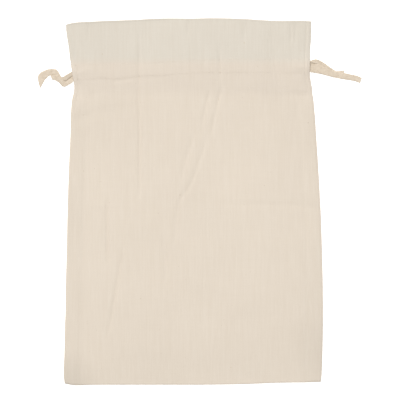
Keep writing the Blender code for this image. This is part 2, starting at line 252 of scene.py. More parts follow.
# Tape ends, from inside the casing to the cut end.  A row is one place along the tape.
#   one edge x, y, z, other edge x, y, z
LEFT_LONG_TAPE = (
    (-84.0, 107.6, 2.80, -84.0, 103.4, 2.82),
    (-91.5, 107.7, 2.68, -91.5, 103.2, 2.66),
    (-93.5, 107.6, 2.48, -93.3, 103.2, 2.50),
    (-95.1, 107.3, 2.26, -94.9, 103.2, 2.27),
    (-96.5, 107.0, 2.12, -96.2, 103.1, 2.08),
    (-98.0, 106.8, 1.80, -97.6, 102.9, 1.68),
    (-99.8, 105.9, 1.86, -99.7, 102.1, 1.35),
    (-102.7, 104.3, 1.92, -102.0, 100.4, 1.10),
    (-105.2, 102.8, 1.80, -104.0, 98.8, 1.00),
    (-106.6, 101.9, 1.60, -105.9, 98.7, 1.00),
    (-107.4, 101.8, 1.35, -107.2, 99.0, 0.80),
    (-108.2, 102.5, 1.10, -108.8, 99.6, 0.50),
    (-109.3, 104.4, 0.90, -110.6, 100.2, 0.32),
    (-110.5, 106.6, 0.80, -112.9, 101.9, 0.30),
    (-112.4, 108.2, 0.75, -114.9, 103.3, 0.30),
    (-115.6, 108.5, 0.70, -116.8, 103.2, 0.30),
    (-119.0, 108.2, 0.60, -118.4, 102.4, 0.32),
    (-122.3, 107.0, 0.50, -119.8, 101.0, 0.32),
    (-125.4, 105.2, 0.40, -121.6, 99.2, 0.32),
    (-127.3, 102.0, 0.34, -122.6, 97.2, 0.32),
    (-127.0, 98.6, 0.30, -123.6, 95.6, 0.30),
    (-125.6, 93.2, 0.30, -124.8, 93.0, 0.30),
)
LEFT_SHORT_TAPE = (
    (-84.0, 107.0, 0.76, -84.0, 102.4, 0.76),
    (-90.0, 106.6, 0.76, -90.0, 102.2, 0.76),
    (-93.6, 105.7, 0.75, -93.4, 102.1, 0.75),
    (-95.6, 105.0, 0.82, -95.4, 101.5, 0.84),
    (-97.2, 104.0, 1.12, -96.8, 100.0, 1.24),
    (-98.3, 103.4, 1.10, -97.7, 99.0, 1.20),
    (-100.6, 101.7, 0.55, -99.4, 97.0, 1.15),
    (-103.0, 100.2, 0.40, -101.7, 95.6, 1.05),
    (-105.2, 98.9, 0.45, -103.9, 94.3, 0.80),
    (-106.3, 98.9, 0.78, -105.5, 93.7, 0.40),
    (-107.4, 99.5, 1.25, -107.2, 94.1, 0.32),
    (-109.0, 100.9, 1.20, -108.6, 95.6, 0.32),
    (-111.2, 102.6, 0.95, -110.3, 97.4, 0.36),
    (-113.8, 103.6, 0.82, -112.7, 98.9, 0.46),
    (-116.9, 103.2, 0.80, -115.7, 99.7, 0.55),
)
RIGHT_LONG_TAPE = (
    (84.0, 112.4, 0.80, 84.0, 107.6, 0.80),
    (90.0, 112.5, 0.80, 90.0, 107.5, 0.80),
    (92.6, 112.8, 0.84, 92.6, 107.2, 0.86),
    (95.4, 113.5, 1.04, 95.2, 106.2, 1.36),
    (98.4, 113.8, 1.02, 98.2, 105.4, 1.26),
    (101.6, 113.0, 0.96, 101.3, 104.9, 1.02),
    (105.0, 111.3, 1.10, 104.5, 104.3, 0.86),
    (108.6, 109.4, 1.02, 107.8, 103.4, 0.76),
    (112.6, 107.9, 0.90, 111.4, 102.5, 0.74),
    (116.8, 106.4, 0.82, 115.6, 101.4, 0.76),
    (121.0, 105.6, 0.82, 119.9, 100.6, 0.72),
    (125.4, 104.9, 0.74, 124.2, 99.8, 0.60),
    (130.3, 103.8, 0.48, 129.4, 99.0, 0.36),
    (134.4, 103.0, 0.36, 133.2, 98.2, 0.30),
    (138.4, 101.2, 0.32, 136.9, 96.8, 0.30),
)
RIGHT_SHORT_TAPE = (
    (84.0, 113.4, 2.78, 84.0, 109.4, 2.86),
    (88.0, 113.6, 2.70, 88.0, 109.8, 2.80),
    (91.0, 113.8, 2.40, 91.0, 110.8, 2.54),
    (92.6, 114.1, 2.18, 92.6, 111.6, 2.26),
    (94.2, 114.4, 1.70, 94.2, 112.5, 1.80),
    (95.6, 114.8, 1.38, 95.6, 113.1, 1.48),
    (97.9, 115.8, 1.46, 98.2, 113.2, 1.66),
    (100.8, 116.4, 1.24, 100.9, 112.7, 1.46),
    (103.4, 115.7, 0.90, 103.0, 111.6, 0.66),
    (106.4, 114.1, 0.60, 105.4, 109.6, 0.34),
    (109.4, 112.2, 0.46, 107.8, 107.8, 0.32),
    (112.4, 109.9, 0.38, 110.6, 105.8, 0.30),
    (115.0, 108.2, 0.34, 113.2, 104.2, 0.30),
    (117.4, 106.8, 0.34, 116.4, 102.4, 0.30),
    (120.4, 107.0, 0.36, 120.0, 102.2, 0.30),
    (123.9, 107.4, 0.40, 123.4, 102.6, 0.30),
)
TAPE_WIDTH = 5.0
TAPE_THICK = 0.38
TAPE_CROWN = 0.12        # how far the middle of a tape stands above its edges
TAPE_STEP = 0.45         # between the places along a tape's mesh

# Outline of a tape's section: share of the half width, share of the half thickness.
TAPE_SECTION = (
    (-1.0, 0.0), (-0.93, 0.8), (-0.78, 1.0), (-0.4, 0.86),
    (0.0, 0.84), (0.4, 0.86), (0.78, 1.0), (0.93, 0.8),
    (1.0, 0.0), (0.93, -0.8), (0.78, -1.0), (0.4, -0.9),
    (0.0, -0.9), (-0.4, -0.9), (-0.78, -1.0), (-0.93, -0.8),
)

STITCH_PITCH = 3.0       # from one stitch to the next
STITCH_LENGTH = 2.3
STITCH_RADIUS = 0.14
STITCH_SCATTER = 0.05    # how far a stitch's ends stray
STITCH_SEED = 7
SIDE_STITCHES = 3.9      # the side hems are stitched this far in

# Places of the larger neps, the small knots of fibre left in natural cotton.
#   x, y, length
NEPS = (
    (94.2, 64.2, 1.3),
    (-10.7, 5.1, 1.2),
    (-42.7, -79.3, 1.1),
    (-89.6, 70.6, 1.0),
    (-89.6, 24.8, 1.0),
)
MORE_NEPS = 60           # small ones, anywhere on the front
NEP_SEED = 11

# Painted shade and painted highlight: places where the cloth is coloured a little darker, or lighter where
# the strength is negative, standing in for the shading of its slopes and corners.
#   x, y, radius, strength
PAINTED_SHADE_SPOTS = (
    (-106.0, -152.0, 37.0, 0.124),
    (112.0, -122.0, 46.0, 0.065),
    (34.0, 12.0, 38.0, -0.028),
    (-84.0, 134.0, 60.0, 0.022),
    (-108.0, 60.0, 30.0, 0.030),
    (-108.0, -10.0, 34.0, 0.020),
    (0.0, -160.0, 34.0, -0.015),
    (-76.0, 72.0, 46.0, 0.030),
    (62.0, 92.0, 20.0, 0.022),
    (-58.0, 80.0, 24.0, 0.007),
    (-100.0, 116.0, 15.0, 0.020),
    (0.0, 82.0, 130.0, 0.008),
    (92.0, 62.0, 34.0, 0.014),
    (4.0, 136.0, 34.0, 0.006),
    (74.0, 82.0, 28.0, 0.008),
    (-102.0, 74.0, 26.0, 0.014),
    (6.0, -104.0, 42.0, -0.009),
    (12.0, -122.0, 90.0, -0.006),
)
SEAM_SHADE = 0.016        # painted shade: how much darker the cloth is coloured over the seam allowances
SEAM_EDGE_SHADE = 0.011   # the same painted shade along the left seam allowance's inner edge
HEADER_EDGE_SHADE = 0.013  # and the same painted shade along the header's left edge
EDGE_SHADE = 0.030        # and painted shade for a line close along the edges, where the folded cloth curves away
MOUTH_SHADE = 0.080       # and for that painted shade line along the left half of the mouth

# ---- spacing of the panels' meshes, in millimetres ----
FULL_WIDTH = 205.0       # the columns are spaced for this width
BAND_LENGTHS = (240.0, 12.0, 11.0, 36.0)  # body, hem under the casing, casing, header
FOLD_PLACE = 0.606       # closer rows lie at this share of the body, where a fold crosses it
OPEN_STEP = 0.25         # between the allowance's columns where a side edge lies open

# Distances in from a side edge of the columns that follow it.
NEAR_EDGE = (0.0, 0.5, 1.1, 1.8, 2.5, 3.2, 3.9, 4.6, 5.6, 6.8, 8.0, 9.4, 10.6, 11.8, 13.0)

# From one row to the next in the face's four bands and the hem's three, from one column to the next, and
# the columns that follow the edge.
Spacing = namedtuple("Spacing", "face hem across near")
FINE = Spacing((2.5, 1.1, 1.1, 2.4), (4.0, 1.4, 6.0), 0.98, NEAR_EDGE)
COARSE = Spacing((3.4, 0.9, 0.9, 2.8), (3.0, 1.4, 6.0), 2.6, NEAR_EDGE[::2])

# ---- weaves ----
WARP_PITCH = 0.00052     # metres from one upright thread to the next
WEFT_PITCH = 0.00058     # the same for the threads across
RIB_PITCH = 0.75         # millimetres from one rib of the tapes to the next

# ---- stage, in metres ----
CAMERA_HEIGHT = 1.6
CAMERA_RANGE = (0.05, 20.0)
VIEW_WIDTH = 0.328       # of the surface across the picture
VIEW_CENTRE = (0.0057, 0.0010)
FLOOR_HALF = 8.0
WORLD_STRENGTH = 0.52

# Square lights.
#   name, place, size, power in watts
LIGHTS = (
    ("key", (-1.4, 3.05, 3.7), 3.0, 196.0),
    ("fill", (2.5, -1.5, 3.0), 3.0, 24.0),
)


# ---- outline ----
def curve(first, last, first_slope, last_slope, run, t):
    """A smooth curve from one value to the next, `t` of the way along its `run`."""
    return (
        first * (1 + 2 * t) * (1 - t) ** 2
        + first_slope * run * t * (1 - t) ** 2
        + last * t ** 2 * (3 - 2 * t)
        - last_slope * run * t ** 2 * (1 - t))


def smooth(table, column, at):
    """A smooth curve through one column of a table, against the table's first column."""
    xs = np.array([row[0] for row in table], float)
    ys = np.array([row[column] for row in table], float)
    slopes = np.gradient(ys, xs)
    at = np.asarray(at, float)
    i = np.clip(np.searchsorted(xs, at) - 1, 0, len(xs) - 2)
    run = xs[i + 1] - xs[i]
    t = np.clip((at - xs[i]) / run, 0, 1)
    return curve(ys[i], ys[i + 1], slopes[i], slopes[i + 1], run, t)


def left_edge(y):
    return smooth(SIDE_EDGES, 1, y)


def right_edge(y):
    return smooth(SIDE_EDGES, 2, y)


def bottom_edge(share):
    return smooth(END_EDGES, 1, share)


def mouth_edge(share):
    return smooth(END_EDGES, 2, share)


def hem_edge(x):
    return smooth(HEM_LINES, 1, x)


def lower_row(x):
    return smooth(HEM_LINES, 2, x)


def upper_row(x):
    return smooth(HEM_LINES, 3, x)


def share_of_width(x, y):
    return (x - left_edge(y)) / (right_edge(y) - left_edge(y))


def side_margin(x, y):
    """Distance in from the nearer side edge."""
    return np.minimum(x - left_edge(y), right_edge(y) - x)


def ramp(value, low, high):
    """0 below low, 1 above high, smooth between."""
    t = np.clip((value - low) / (high - low), 0, 1)
    return t * t * (3 - 2 * t)


def bump(distance, half_width):
    return np.exp(-(distance / half_width) ** 2)


def unit(vectors):
    """The vectors, each made 1 long."""
    return vectors / np.maximum(np.linalg.norm(vectors, axis=-1, keepdims=True), 1e-9)


def cloud(x, y, size, seed):
    """Smooth noise, about -1 to 1, whose lumps are `size` across."""
    flat = zip(np.ravel(x), np.ravel(y))
    values = [noise.noise(Vector((a / size + seed, b / size, seed * 1.7))) for a, b in flat]
    return np.reshape(values, np.shape(x)) * 1.6


# ---- height of the panels ----
def crease_height(x, y):
    total = np.zeros_like(x)
    for _, half_width, points in CREASES:
        crease = np.zeros_like(x)
        for (x0, y0, height0), (x1, y1, height1) in zip(points, points[1:]):
            run_x, run_y = x1 - x0, y1 - y0
            along = np.clip(((x - x0) * run_x + (y - y0) * run_y) / (run_x ** 2 + run_y ** 2), 0, 1)
            distance = np.hypot(x - x0 - along * run_x, y - y0 - along * run_y)
            stretch = (height0 + (height1 - height0) * along) * bump(distance, half_width)
            crease = np.where(np.abs(stretch) > np.abs(crease), stretch, crease)
        total += crease
    return total


def hem_height(x, y):
    """The hem seen from outside: a step at its edge, a fold and a groove at the stitching, a full casing."""
    edge, lower, upper = hem_edge(x), lower_row(x), upper_row(x)
    step, lower_fold, upper_groove = (smooth(HEM_RELIEF, column, x) for column in (1, 2, 3))
    rise = step * ramp(y, edge - 1.9, edge + 0.2)
    dip_below = -0.4 * step * bump(y - edge + 2.8, 1.2)
    fold = lower_fold * ramp(y, lower - 1.3, lower + 0.5) * (1 - ramp(y, lower + 1.0, upper))
    groove = -upper_groove * bump(y - upper, 1.0)
    casing = np.clip((y - lower) / (upper - lower), 0, 1)
    full = CASING_FULL * np.sin(math.pi * casing) ** 0.8
    # the gathers are long upwards and run across both rows
    ripple = cloud(x * 2.2, y * 0.35, 9.0, 4.0)
    gathers = GATHERS * ripple * (bump(y - lower, 5.5) + 0.6 * bump(y - upper, 5.0))
    return rise + dip_below + fold + groove + full + gathers


def side_height(x, y):
    """Seam allowance lying under the front, and the turned side hem next to the casing."""
    from_left = x - left_edge(y)
    from_right = right_edge(y) - x
    body = 1 - ramp(y, 78.0, 92.0)
    hem_left = ramp(y, 70.0, 84.0) * (1 - ramp(y, 108.0, 118.0))
    hem_right = ramp(y, 84.0, 92.0)
    total = np.zeros_like(x)
    for distance, hem, strength in ((from_left, hem_left, 1.0), (from_right, hem_right, 1.1)):
        total += strength * body * SEAM_RELIEF * (1 - ramp(distance, ALLOWANCE - 1.5, ALLOWANCE + 2.0))
        total -= hem * SIDE_GROOVE * bump(distance - SIDE_STITCHES, 0.9)
        total += hem * SIDE_ROLL * bump(distance - 2.3, 1.1)
    return total


def edge_height(x, y):
    """Height of the front cloth where it isn't crowned: it lifts at the sides, where the tapes leave."""
    casing = (lower_row(x) + upper_row(x)) / 2
    lift = bump(y - casing, 7.0) * bump(side_margin(x, y), 9.0)
    return EDGE_STACK + (OPEN_EDGE - EDGE_STACK) * lift


def pucker_height(x, y):
    """Short folds that run into the side openings, where the tapes pull."""
    total = np.zeros_like(x)
    for side, opening_x, opening_y in OPENINGS:
        away = (opening_x - x) * side
        angle = np.arctan2(y - opening_y, np.maximum(away, 0.01))
        fade = ramp(away, 0.5, 4.0) * (1 - ramp(away, 8.0, 30.0))
        total += PUCKERS * fade * np.sin(angle * PUCKERS_TURN + side) * bump(y - opening_y, 22.0)
    return total


def front_height(x, y):
    """z of the middle of the front cloth."""
    share = share_of_width(x, y)
    across = np.abs(2 * share - 1)
    from_bottom = y - bottom_edge(share)
    along = np.clip(from_bottom / BOTTOM_RISE, 0, 1)
    along = (1 + SLOW_START) * along ** 2 / (along + SLOW_START)
    opened = CROWN * (1 - np.clip(across, 0, 1) ** CROWN_POWER) * (1 - (1 - along) ** SLOW_END)
    margin = np.minimum(side_margin(x, y), from_bottom)
    inside = ramp(margin, 0.3, 5.0)
    waves = sum(height * cloud(x, y, size, seed) for height, size, seed in FRONT_WAVES)
    relief = crease_height(x, y) + hem_height(x, y) + pucker_height(x, y) + waves
    return edge_height(x, y) + opened + relief * inside + side_height(x, y) * ramp(margin, 0.2, 1.5)


def back_height(x, y):
    """z of the middle of the back cloth, which lies on the surface but for its seams and soft waves."""
    lower, upper = lower_row(x), upper_row(x)
    lines = 0.24 * bump(y - lower, 1.1) + 0.22 * bump(y - upper, 1.0)
    body = 0.07 * (1 - ramp(y, lower - 12.5, lower - 10.0))
    slack = sum(height * np.maximum(cloud(x, y, size, seed), 0) for height, size, seed in BACK_WAVES)
    margin = np.minimum(side_margin(x, y), y - bottom_edge(share_of_width(x, y)))
    beside_hem = ramp(y, 76.0, 79.0) * 0.22 * bump(margin - SIDE_STITCHES, 1.0)
    return RESTING + np.maximum(lines, beside_hem) + (body + slack) * ramp(margin, 4.0, 12.0)


def height_at(height, x, y):
    """Height of one panel at one place."""
    return float(height(np.array([x]), np.array([y]))[0])


# ---- meshes ----
def new_object(name, points, faces, material):
    """A smooth closed object.  Its points come in millimetres."""
    mesh = bpy.data.meshes.new(name)
    mesh.from_pydata((np.array(points) * MM).tolist(), [], faces)
    mesh.update()
    mesh.shade_smooth()
    mesh.materials.append(material)
    make_outward(mesh)
    obj = bpy.data.objects.new(name, mesh)
    bpy.context.scene.collection.objects.link(obj)
    return obj


def make_outward(mesh):
    """Turns a closed mesh's faces outwards if its volume comes out negative."""
    mesh.calc_loop_triangles()
    points = np.array([v.co for v in mesh.vertices])
    corners = np.array([t.vertices for t in mesh.loop_triangles])
    a, b, c = points[corners[:, 0]], points[corners[:, 1]], points[corners[:, 2]]
    if np.einsum("ij,ij->i", a, np.cross(b, c)).sum() < 0:
        mesh.flip_normals()
        mesh.update()


def tube_faces(rings, around):
    """Faces of a tube whose points come ring by ring, closed by a flat face at each end."""
    faces = []
    for i in range(rings - 1):
        for k in range(around):
            n = (k + 1) % around
            faces.append((i * around + k, i * around + n, (i + 1) * around + n, (i + 1) * around + k))
    faces.append(tuple(range(around - 1, -1, -1)))
    faces.append(tuple((rings - 1) * around + k for k in range(around)))
    return faces


def many_shapes(name, shapes, material):
    """One object of many small closed shapes, each given as its points and faces."""
    points, faces = [], []
    for more_points, more_faces in shapes:
        faces += [tuple(index + len(points) for index in face) for face in more_faces]
        points += more_points
    return new_object(name, points, faces, material)


# ---- panels ----
def panel_lines(x, share):
    """y of the lines that a panel's rows lie between: bottom, hem edge, both rows of stitching and mouth."""
    return np.stack([bottom_edge(share), hem_edge(x), lower_row(x), upper_row(x), mouth_edge(share)])


def allowance_width(y):
    """Width of the turned-in sides: wide in the body, narrow in the hem, and next to nothing at its ends."""
    hem = ramp(y, 78.0, 88.0)
    at_ends = ramp(y, -150.0, -140.0) * (1 - ramp(y, 138.0, 147.0)) * (1 - 0.8 * bump(y - 105.0, 9.0))
    return NO_ALLOWANCE + (ALLOWANCE * (1 - hem) + HEM_ALLOWANCE * hem) * at_ends


def turned_edge():
    """Middle of the cloth round a turned edge, from the face to the layer behind it.

    Each entry is the distance in from the edge, and the depth in layers."""
    radius = LAYER / 2
    run = []
    for degrees in (0, 45, 90, 135, 180):
        angle = math.radians(degrees)
        run.append((CLOTH / 2 + radius * (1 - math.sin(angle)), (1 - math.cos(angle)) / 2))
    return run


def panel_columns(spacing):
    """Columns of a panel from its left allowance to its right one, as five arrays.

    share: 0 follows the left edge, 1 the right edge, and between them both
    inward: distance from that edge, to the right when positive
    reach: how much of the allowance's width is added to it
    depth: layers behind the face
    unfolded: the distance that takes the place of `inward` where the edge isn't turned"""
    turn = turned_edge()
    left = [(0.0, turn[-1][0], k / 3, 1.0) for k in (3, 2, 1)]
    left += [(0.0, inward, 0.0, depth) for inward, depth in reversed(turn[1:])]
    folded = len(left)
    left += [(0.0, turn[0][0] + distance, 0.0, 0.0) for distance in spacing.near]
    last = left[-1][1]
    count = round((FULL_WIDTH - 2 * last) / spacing.across)
    middle = [(k / count, last * (1 - 2 * k / count), 0.0, 0.0) for k in range(1, count)]
    right = [(1.0, -inward, -reach, depth) for _, inward, reach, depth in reversed(left)]
    share, inward, reach, depth = np.array(left + middle + right).T
    unfolded = inward.copy()
    spread = np.arange(folded) * OPEN_STEP
    unfolded[:folded] = spread
    unfolded[-folded:] = -spread[::-1]
    beside = len(left) - folded
    unfolded[folded:folded + beside] += folded * OPEN_STEP
    unfolded[-folded - beside:-folded] -= folded * OPEN_STEP
    return share, inward, reach, depth, unfolded


# One row of a panel.
#   line: the row lies between this line and the next
#   along: how far from one to the other
#   shift: added to y
#   layer: layers behind the face
#   turned: 1 where the side edges are turned in, 0 where they lie open
#   inset: how much narrower the cloth is at each side
#   under: 1 where the row lies on the surface under the pouch, 0 on the face
Row = namedtuple("Row", "line along shift layer turned inset under", defaults=(0.0, 0.0, 0.0, 1.0, 0.0, 0.0))


def bottom_rows(wraps):
    """Rows at the bottom.  The front `wraps` round the fold, and the back starts behind it."""
    radius = (EDGE_STACK - CLOTH / 2) / 2
    wrapped = CLOTH / 2 + radius + FOLD_UNDER
    if not wraps:
        # a hair behind the end of the front's cloth
        return [Row(0, shift=wrapped + 0.03 + 0.7 * k, turned=k / 2) for k in range(3)]
    rows = [Row(0, shift=wrapped - FOLD_UNDER * k / 3, turned=0.0, under=1.0) for k in range(3)]
    for degrees in range(180, -1, -20):
        angle = math.radians(degrees)
        under = (1 - math.cos(angle)) / 2
        shift = CLOTH / 2 + radius * (1 - math.sin(angle))
        rows.append(Row(0, shift=shift, turned=max(0.0, 1 - 2 * under), under=under))
    return rows + [Row(0, shift=CLOTH / 2 + radius + shift) for shift in (0.5, 1.2)]


def face_rows(start, paces):
    """Rows up the face, from 1.2 above `start` to the mouth."""
    rows = []
    for line, (length, pace) in enumerate(zip(BAND_LENGTHS, paces)):
        count = round(length / pace)
        first = 1 if line else math.ceil((start + 1.2) / length * count)
        places = [k / count for k in range(first, count)]
        if line == 0:
            at_fold = [place for place in places if abs(place - FOLD_PLACE) < 0.02]
            places = sorted(places + [place + 0.5 / count for place in at_fold])
        rows += [Row(line, place) for place in places]
        if line < 3:  # the last band ends in the mouth's own rows
            rows.append(Row(line, 1.0))
    return rows


def mouth_rows():
    """Rows over the mouth, close together where the cloth curves most."""
    turn = turned_edge()
    rows = [Row(3, 1.0, shift) for shift in (-1.8, -1.3, -0.8)]
    for k, (shift, layer) in enumerate(turn):
        open_out = k / (len(turn) - 1)
        rows.append(Row(3, 1.0, -shift, layer, 1 - open_out, 1.2 * open_out))
    inside = ((0.9, 2.0), (1.6, HEM_INSET))
    return rows + [Row(3, 1.0, -shift, 1.0, 0.0, inset) for shift, inset in inside]


def hem_rows(paces):
    """Rows down inside, from the mouth to the hem's lower edge."""
    rows = []
    for line in (3, 2, 1):
        count = round(BAND_LENGTHS[line] / paces[line - 1])
        rows += [Row(line, 1 - k / count, 0.0, 1.0, 0.0, HEM_INSET) for k in range(1, count + 1)]
    return rows


def panel_grid(height, side, spacing):
    """Middle surface of a panel as rows of points, and the cloth's painted shade at each of them.

    `side` is 1 for the front, whose turned edges lie under it, and -1 for the back, where they lie on top."""
    share, inward, reach, depth, unfolded = panel_columns(spacing)
    rows = bottom_rows(side > 0)
    rows += face_rows(rows[-1].shift, spacing.face) + mouth_rows() + hem_rows(spacing.hem)
    line, along, shift, layer, turned, inset, under = np.array(rows, float).T[:, :, None]
    y = np.zeros((len(rows), len(share)))
    # the edges depend on y and the lines on x, so both are found by going round a few times
    for _ in range(5):
        left = left_edge(y) + inset
        right = right_edge(y) - inset
        offset = turned * (inward + reach * allowance_width(y)) + (1 - turned) * unfolded
        x = left * (1 - share) + right * share + offset
        lines = panel_lines(x, np.clip(share_of_width(x, y), 0, 1))
        lower, upper = (
            np.take_along_axis(lines, np.broadcast_to(line + k, y.shape).astype(int)[None], axis=0)[0]
            for k in (0, 1))
        y = lower * (1 - along) + upper * along + shift
    channel = np.clip((y - lines[2]) / (lines[3] - lines[2]), 0, 1)
    opened = TUNNEL * ramp(np.sin(math.pi * channel), 0.0, 0.6) * (layer == 1) * (line > 0)
    behind = LAYER * (depth * turned + layer) + opened
    z = (height(x, y) - side * behind) * (1 - under) + RESTING * under
    return np.stack([x, y, z], axis=-1), painted_shade(x, y)


def painted_shade(x, y):
    """Painted shade: how much of its colour the cloth keeps at a place, darker where its slopes, edges and
    corners would be shaded and lighter in a few spots.
    """
    share = np.clip(share_of_width(x, y), 0, 1)
    from_left = x - left_edge(y)
    from_right = right_edge(y) - x
    from_mouth = mouth_edge(share) - y
    below_casing = 1 - ramp(y, 30.0, 60.0)
    lit_share = np.ones_like(x)
    # painted shade, and painted highlight where the strength is negative, in soft spots
    for at_x, at_y, radius, strength in PAINTED_SHADE_SPOTS:
        lit_share *= 1 - strength * (1 - ramp(np.hypot(x - at_x, y - at_y), 0, radius))
    # painted shade over the seam allowances, where the sides slope away
    lit_share *= 1 - SEAM_SHADE * (1 - ramp(from_left, 9.0, 17.0)) * below_casing
    # painted shade along the left seam allowance's inner edge
    lit_share *= 1 - SEAM_EDGE_SHADE * bump(from_left - 12.0, 2.6) * below_casing
    # painted shade along the header's left edge
    lit_share *= 1 - HEADER_EDGE_SHADE * (1 - ramp(from_left, 4.0, 7.5)) * ramp(y, 112.0, 122.0)
    lit_share *= 1 - SEAM_SHADE * (1 - ramp(from_right, 11.0, 22.0)) * (1 - ramp(y, -90.0, -20.0))
    # painted shade close along the side edges and the mouth, where the folded cloth curves away
    mouth_shade = EDGE_SHADE + (MOUTH_SHADE - EDGE_SHADE) * (1 - ramp(share, 0.38, 0.46))
    lit_share *= 1 - EDGE_SHADE * bump(from_right - 1.1, 0.9)
    lit_share *= 1 - 0.4 * EDGE_SHADE * bump(from_left - 0.4, 0.8)
    lit_share *= 1 - mouth_shade * bump(from_mouth - 1.0, 0.9)
    return lit_share


def thicken(name, grid, thickness, painted_shades, material):
    """A closed sheet of cloth on a grid of points, with the painted shade at each point kept for the
    material.
    """
    along = np.gradient(grid, axis=0)
    across = np.gradient(grid, axis=1)
    normals = unit(np.cross(across, along))
    rows, columns = grid.shape[:2]
    upper = (grid + normals * thickness / 2).reshape(-1, 3)
    lower = (grid - normals * thickness / 2).reshape(-1, 3)
    index = np.arange(rows * columns).reshape(rows, columns)
    quads = np.stack([index[:-1, :-1], index[:-1, 1:], index[1:, 1:], index[1:, :-1]], axis=-1)
    count = rows * columns
    rim = np.concatenate([index[0, :], index[1:, -1], index[-1, -2::-1], index[-2:0:-1, 0]])
    following = np.roll(rim, -1)
    rim_quads = np.stack([following, rim, rim + count, following + count], axis=-1)
    faces = np.concatenate([quads.reshape(-1, 4), quads[..., ::-1].reshape(-1, 4) + count, rim_quads])
    panel = new_object(name, np.concatenate([upper, lower]), faces.tolist(), material)
    lit_share = panel.data.attributes.new("painted_shade", "FLOAT", "POINT")
    lit_share.data.foreach_set("value", np.tile(painted_shades.ravel(), 2).astype(np.float32))
    return panel


# ---- tapes ----
def through(rows, step):
    """A smooth run through a table's rows, about `step` apart along its middle."""
    rows = np.array(rows, float)
    middle = (rows[:, :3] + rows[:, 3:]) / 2
    gaps = np.maximum(np.linalg.norm(np.diff(middle, axis=0), axis=1), 0.6)
    at = np.concatenate([[0], np.cumsum(gaps)])
    slopes = np.gradient(rows, at, axis=0)
    run = []
    for i, gap in enumerate(gaps):
        count = max(2, round(gap / step))
        for k in range(count):
            run.append(curve(rows[i], rows[i + 1], slopes[i], slopes[i + 1], gap, k / count))
    run.append(rows[-1])
    return np.array(run)


def tape(name, rows, material):
    """A flat tape with thick rounded edges and a slight crown across its width."""
    run = through(rows, TAPE_STEP)
    one, other = run[:, :3], run[:, 3:]
    middle = (one + other) / 2
    width = np.linalg.norm(other - one, axis=1, keepdims=True)
    across = unit(other - one)
    up = unit(np.cross(unit(np.gradient(middle, axis=0)), across))
    up = np.where(up[:, 2:] < 0, -up, up)
    rings = []
    for share, thick in TAPE_SECTION:
        lift = thick * TAPE_THICK / 2 + TAPE_CROWN * (1 - share ** 2)
        rings.append(middle + across * share * width / 2 + up * lift)
    points = np.stack(rings, axis=1).reshape(-1, 3)
    obj = new_object(name, points, tube_faces(len(middle), len(TAPE_SECTION)), material)
    distance = np.concatenate([[0], np.cumsum(np.linalg.norm(np.diff(middle, axis=0), axis=1))])
    weave = obj.data.attributes.new("weave", "FLOAT_VECTOR", "POINT")
    values = [(share * TAPE_WIDTH / 2, place, 0.0) for place in distance for share, _ in TAPE_SECTION]
    weave.data.foreach_set("vector", np.array(values, np.float32).ravel())
    return obj, middle * MM, float(distance[-1]) * MM


# ---- stitching and neps ----
def stitch(start, end, radius):
    """One stitch: a short thread whose ends dive into the cloth."""
    sides, steps = 6, 6
    run = end - start
    sideways = unit(np.cross(unit(run), [0, 0, 1]))
    upward = np.cross(sideways, unit(run))
    points = []
    for i in range(steps + 1):
        t = i / steps
        rise = radius * (1.3 * math.sin(math.pi * t) - 0.9)
        thick = radius * (0.55 + 0.45 * math.sin(math.pi * t))
        centre = start + run * t + upward * rise
        for k in range(sides):
            angle = 2 * math.pi * k / sides
            points.append(centre + sideways * math.cos(angle) * thick + upward * math.sin(angle) * thick)
    return points, tube_faces(steps + 1, sides)


def stitch_paths():
    """The rows of stitching, each as a path and the values between which it runs."""
    def along_row(row):
        return lambda x: (x, float(row(x)))

    def along_left(y):
        return float(left_edge(y)) + SIDE_STITCHES, y

    def along_right(y):
        return float(right_edge(y)) - SIDE_STITCHES, y

    return (
        (along_row(lower_row), -96.0, 93.2),
        (along_row(upper_row), -97.4, 92.6),
        (along_left, 80.0, 98.0),
        (along_right, 90.5, 103.0),
        (along_right, 117.5, 146.0),
    )


def stitching(name, height, offset, material):
    """All the stitching of one panel.  `offset` is from the middle of its cloth to that of the thread."""
    rng = np.random.default_rng(STITCH_SEED)
    stitches = []
    for path, start, end in stitch_paths():
        for number in range(int((end - start) / STITCH_PITCH)):
            at = start + number * STITCH_PITCH
            length = STITCH_LENGTH * (1 + 0.10 * rng.standard_normal())
            ends = []
            for place in (at, at + length):
                x, y = path(place)
                x, y = x + STITCH_SCATTER * rng.standard_normal(), y + STITCH_SCATTER * rng.standard_normal()
                ends.append(np.array([x, y, height_at(height, x, y) + offset]))
            stitches.append(stitch(*ends, math.copysign(STITCH_RADIUS, offset)))
    return many_shapes(name, stitches, material)


def nep(x, y, z, length, turn):
    """A flat lump of fibre on the cloth, pointed at both ends."""
    around, steps = 8, 6
    points = []
    for i in range(steps + 1):
        t = i / steps
        half = 0.26 * length * math.sin(math.pi * t) ** 0.8 + 0.01
        along = (t - 0.5) * length
        for k in range(around):
            angle = 2 * math.pi * k / around
            across = math.cos(angle) * half * (1 + 0.2 * math.sin(5 * t + k))
            points.append((
                x + along * math.cos(turn) - across * math.sin(turn),
                y + along * math.sin(turn) + across * math.cos(turn),
                z + math.sin(angle) * half * 0.45))
    return points, tube_faces(steps + 1, around)


def neps(name, material):
    """The neps of the front: a few large ones, and many small."""
    rng = np.random.default_rng(NEP_SEED)
    places = list(NEPS)
    for _ in range(MORE_NEPS):
        places.append((rng.uniform(-92, 92), rng.uniform(-142, 140), rng.uniform(0.45, 0.8)))
    lumps = []
    for x, y, length in places:
        z = height_at(front_height, x, y) + CLOTH / 2
        lumps.append(nep(x, y, z, length, rng.uniform(0, math.pi)))
    return many_shapes(name, lumps, material)


